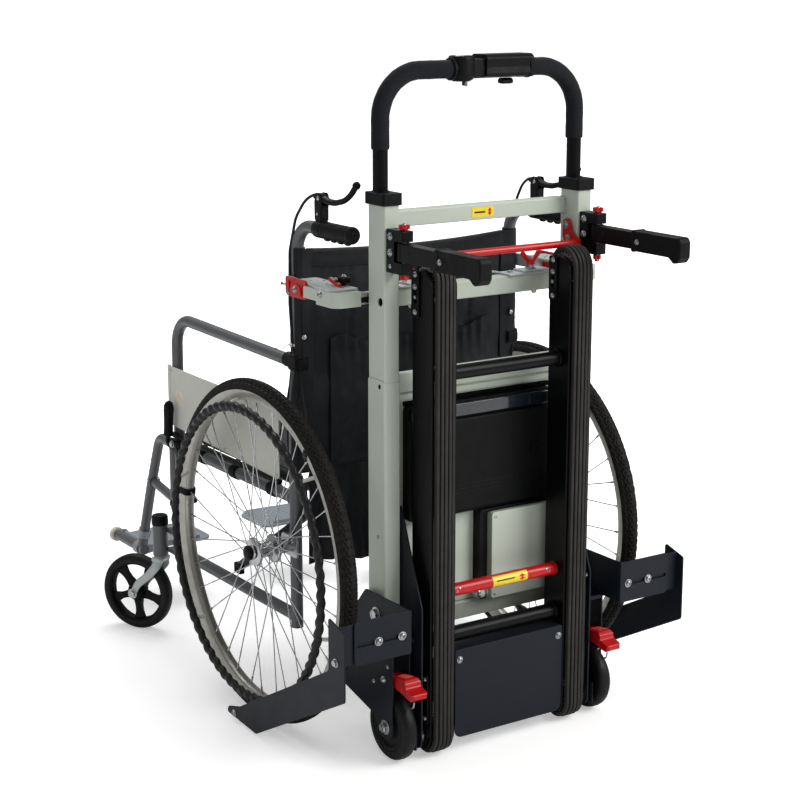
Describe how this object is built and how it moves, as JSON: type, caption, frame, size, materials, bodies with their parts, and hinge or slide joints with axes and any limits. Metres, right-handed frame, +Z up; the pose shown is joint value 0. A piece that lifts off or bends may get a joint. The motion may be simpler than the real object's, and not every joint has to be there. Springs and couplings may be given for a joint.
{
  "type": "stair chair",
  "caption": "Motorised tracked stair climber with telescopic pull handle and folding carry handles, docked behind a manual wheelchair held by cane clamps and wheel trays.",
  "frame": {"origin": "on the ground, at the middle of the object's length and width", "axes": "+Z up, +Y the way the seated person faces, -Y the operator's side, +X the seated person's right-hand side as seen from behind"},
  "size_m": [0.716, 1.291, 1.162],
  "materials": {
    "frame_white": "satin pale grey-green paint",
    "black_metal": "satin black",
    "chassis_dark": "satin blue-black powder coat",
    "black_plastic": "fine moulded grain",
    "foam": "matte foam sleeve",
    "red_metal": "gloss red paint",
    "red_plastic": "gloss",
    "steel": "bright zinc",
    "chair_silver": "silver-grey enamel",
    "panel_light": "satin",
    "housing_light": "satin pale grey paint",
    "nylon": "coated woven nylon",
    "tyre_rubber": "matte",
    "belt_rubber": "matte",
    "wheel_steel": "polished",
    "cast_alloy": "as cast",
    "footplate_alloy": "satin"
  },
  "bodies": {
    "lifting_frame": {"upright_frame": "frame_white", "post_cap_left": "black_plastic", "post_cap_right": "black_plastic", "back_panel": "housing_light", "battery_pack": "black_plastic", "controller_housing": "housing_light", "chassis_left": "chassis_dark", "chassis_right": "chassis_dark", "handle_bracket_left": "black_metal", "handle_bracket_right": "black_metal"},
    "pull_handle": {"pull_handle_tube": "black_metal", "pull_handle_foam": "foam", "control_box": "black_plastic"},
    "drive_rocker": {"drive_rocker": "black_plastic"},
    "height_button": {"height_button": "steel"},
    "latch_bar": {"latch_bar": "red_metal"},
    "track_unit": {"track_frame": "black_metal", "push_bar": "red_metal", "track_belt_left": "belt_rubber", "track_belt_right": "belt_rubber", "motor_cover": "chassis_dark", "gearmotor": "cast_alloy"},
    "drive_shaft": {"drive_shaft": "steel"},
    "idler_rollers": {"idler_roller_left": "steel", "idler_roller_right": "steel"},
    "wheelchair": {"chair_frame_left": "chair_silver", "chair_frame_right": "chair_silver", "cross_brace": "chair_silver", "seat_sling": "nylon", "back_sling": "nylon", "side_panel_left": "panel_light", "side_panel_right": "panel_light"},
    "carry_handle_left": {"carry_handle_left": "black_plastic"},
    "castor_wheel_left": {"castor_wheel_left": "tyre_rubber"},
    "brake_pedal_left": {"brake_pedal_left": "red_plastic"},
    "wheel_tray_left": {"wheel_tray_left": "chassis_dark"},
    "clamp_arm_left": {"clamp_arm_left": "frame_white"},
    "wing_bolt_left": {"wing_bolt_left": "red_metal"},
    "caster_fork_left": {"caster_fork_left": "steel"},
    "caster_wheel_left": {"caster_wheel_left": "tyre_rubber"},
    "footrest_left": {"footrest_left": "chair_silver"},
    "footplate_left": {"footplate_left": "footplate_alloy"},
    "park_brake_left": {"park_brake_left": "black_metal"},
    "hand_brake_left": {"hand_brake_left": "black_metal"},
    "rear_wheel_left": {"rear_wheel_left": "wheel_steel", "rear_tyre_left": "tyre_rubber"},
    "carry_handle_right": {"carry_handle_right": "black_plastic"},
    "castor_wheel_right": {"castor_wheel_right": "tyre_rubber"},
    "brake_pedal_right": {"brake_pedal_right": "red_plastic"},
    "wheel_tray_right": {"wheel_tray_right": "chassis_dark"},
    "clamp_arm_right": {"clamp_arm_right": "frame_white"},
    "wing_bolt_right": {"wing_bolt_right": "red_metal"},
    "caster_fork_right": {"caster_fork_right": "steel"},
    "caster_wheel_right": {"caster_wheel_right": "tyre_rubber"},
    "footrest_right": {"footrest_right": "chair_silver"},
    "footplate_right": {"footplate_right": "footplate_alloy"},
    "park_brake_right": {"park_brake_right": "black_metal"},
    "hand_brake_right": {"hand_brake_right": "black_metal"},
    "rear_wheel_right": {"rear_wheel_right": "wheel_steel", "rear_tyre_right": "tyre_rubber"}
  },
  "joints": [
    {"name": "pull_handle_slide", "type": "slide", "parent": "lifting_frame", "child": "pull_handle", "axis": [0, 0, 1], "range_m": [0, 0.15]},
    {"name": "drive_rocker_tilt", "type": "hinge", "parent": "pull_handle", "child": "drive_rocker", "pos_m": [0.05, -0.3565, 1.118], "axis": [1, 0, 0], "range_deg": [-6, 6]},
    {"name": "height_button_press", "type": "slide", "parent": "pull_handle", "child": "height_button", "axis": [-1, 0, 0], "range_m": [0, 0.003]},
    {"name": "latch_bar_lift", "type": "hinge", "parent": "lifting_frame", "child": "latch_bar", "pos_m": [0, -0.367, 0.87], "axis": [-1, 0, 0], "range_deg": [0, 25]},
    {"name": "track_fold", "type": "hinge", "parent": "lifting_frame", "child": "track_unit", "pos_m": [0, -0.4295, 0.04], "axis": [1, 0, 0], "range_deg": [0, 35]},
    {"name": "drive_spin", "type": "hinge", "parent": "track_unit", "child": "drive_shaft", "pos_m": [0, -0.4295, 0.04], "axis": [1, 0, 0], "continuous": true},
    {"name": "idler_spin", "type": "hinge", "parent": "track_unit", "child": "idler_rollers", "pos_m": [0, -0.4295, 0.81], "axis": [1, 0, 0], "continuous": true},
    {"name": "carry_handle_left_swing", "type": "hinge", "parent": "lifting_frame", "child": "carry_handle_left", "pos_m": [-0.197, -0.4265, 0.86], "axis": [0, 0, 1], "range_deg": [-90, 0]},
    {"name": "castor_left_spin", "type": "hinge", "parent": "lifting_frame", "child": "castor_wheel_left", "pos_m": [-0.208, -0.4105, 0.0585], "axis": [1, 0, 0], "continuous": true},
    {"name": "brake_pedal_left_press", "type": "hinge", "parent": "lifting_frame", "child": "brake_pedal_left", "pos_m": [-0.206, -0.4055, 0.142], "axis": [1, 0, 0], "range_deg": [0, 12]},
    {"name": "wheel_tray_left_slide", "type": "slide", "parent": "lifting_frame", "child": "wheel_tray_left", "axis": [-1, 0, 0], "range_m": [0, 0.035]},
    {"name": "clamp_arm_left_slide", "type": "slide", "parent": "lifting_frame", "child": "clamp_arm_left", "axis": [-1, 0, 0], "range_m": [0, 0.03]},
    {"name": "wing_bolt_left_turn", "type": "hinge", "parent": "lifting_frame", "child": "wing_bolt_left", "pos_m": [-0.117, -0.3455, 0.805], "axis": [0, 0, 1], "continuous": true},
    {"name": "carry_handle_right_swing", "type": "hinge", "parent": "lifting_frame", "child": "carry_handle_right", "pos_m": [0.197, -0.4265, 0.86], "axis": [0, 0, 1], "range_deg": [0, 90]},
    {"name": "castor_right_spin", "type": "hinge", "parent": "lifting_frame", "child": "castor_wheel_right", "pos_m": [0.208, -0.4105, 0.0585], "axis": [1, 0, 0], "continuous": true},
    {"name": "brake_pedal_right_press", "type": "hinge", "parent": "lifting_frame", "child": "brake_pedal_right", "pos_m": [0.206, -0.4055, 0.142], "axis": [1, 0, 0], "range_deg": [0, 12]},
    {"name": "wheel_tray_right_slide", "type": "slide", "parent": "lifting_frame", "child": "wheel_tray_right", "axis": [1, 0, 0], "range_m": [0, 0.035]},
    {"name": "clamp_arm_right_slide", "type": "slide", "parent": "lifting_frame", "child": "clamp_arm_right", "axis": [1, 0, 0], "range_m": [0, 0.03]},
    {"name": "wing_bolt_right_turn", "type": "hinge", "parent": "lifting_frame", "child": "wing_bolt_right", "pos_m": [0.117, -0.3455, 0.805], "axis": [0, 0, 1], "continuous": true},
    {"name": "wheelchair_undock", "type": "slide", "parent": "lifting_frame", "child": "wheelchair", "axis": [0, 1, 0], "range_m": [0, 0.45]},
    {"name": "rear_wheel_left_spin", "type": "hinge", "parent": "wheelchair", "child": "rear_wheel_left", "pos_m": [-0.2977, -0.125, 0.305], "axis": [1, 0, 0], "continuous": true},
    {"name": "caster_left_swivel", "type": "hinge", "parent": "wheelchair", "child": "caster_fork_left", "pos_m": [-0.255, 0.3595, 0.19], "axis": [0, 0, 1], "continuous": true},
    {"name": "caster_left_spin", "type": "hinge", "parent": "caster_fork_left", "child": "caster_wheel_left", "pos_m": [-0.28468, 0.40699, 0.077], "axis": [0.848, 0.5299, 0], "continuous": true},
    {"name": "footrest_left_swing", "type": "hinge", "parent": "wheelchair", "child": "footrest_left", "pos_m": [-0.225, 0.3495, 0.34], "axis": [0, 0, 1], "range_deg": [0, 90]},
    {"name": "footplate_left_flip", "type": "hinge", "parent": "footrest_left", "child": "footplate_left", "pos_m": [-0.204, 0.5695, 0.126], "axis": [0, 1, 0], "range_deg": [-85, 0]},
    {"name": "park_brake_left_push", "type": "hinge", "parent": "wheelchair", "child": "park_brake_left", "pos_m": [-0.251, 0.2995, 0.4], "axis": [-1, 0, 0], "range_deg": [0, 17]},
    {"name": "hand_brake_left_squeeze", "type": "hinge", "parent": "wheelchair", "child": "hand_brake_left", "pos_m": [-0.225, -0.2245, 0.928], "axis": [1, 0, 0], "range_deg": [0, 12]},
    {"name": "rear_wheel_right_spin", "type": "hinge", "parent": "wheelchair", "child": "rear_wheel_right", "pos_m": [0.2977, -0.125, 0.305], "axis": [1, 0, 0], "continuous": true},
    {"name": "caster_right_swivel", "type": "hinge", "parent": "wheelchair", "child": "caster_fork_right", "pos_m": [0.255, 0.3595, 0.19], "axis": [0, 0, 1], "continuous": true},
    {"name": "caster_right_spin", "type": "hinge", "parent": "caster_fork_right", "child": "caster_wheel_right", "pos_m": [0.28468, 0.40699, 0.077], "axis": [0.848, -0.5299, 0], "continuous": true},
    {"name": "footrest_right_swing", "type": "hinge", "parent": "wheelchair", "child": "footrest_right", "pos_m": [0.225, 0.3495, 0.34], "axis": [0, 0, 1], "range_deg": [-90, 0]},
    {"name": "footplate_right_flip", "type": "hinge", "parent": "footrest_right", "child": "footplate_right", "pos_m": [0.204, 0.5695, 0.126], "axis": [0, 1, 0], "range_deg": [0, 85]},
    {"name": "park_brake_right_push", "type": "hinge", "parent": "wheelchair", "child": "park_brake_right", "pos_m": [0.251, 0.2995, 0.4], "axis": [-1, 0, 0], "range_deg": [0, 17]},
    {"name": "hand_brake_right_squeeze", "type": "hinge", "parent": "wheelchair", "child": "hand_brake_right", "pos_m": [0.225, -0.2245, 0.928], "axis": [1, 0, 0], "range_deg": [0, 12]}
  ],
  "couplings": [
    {"joint": "idler_spin", "follows": "drive_spin", "ratio": 1}
  ]
}
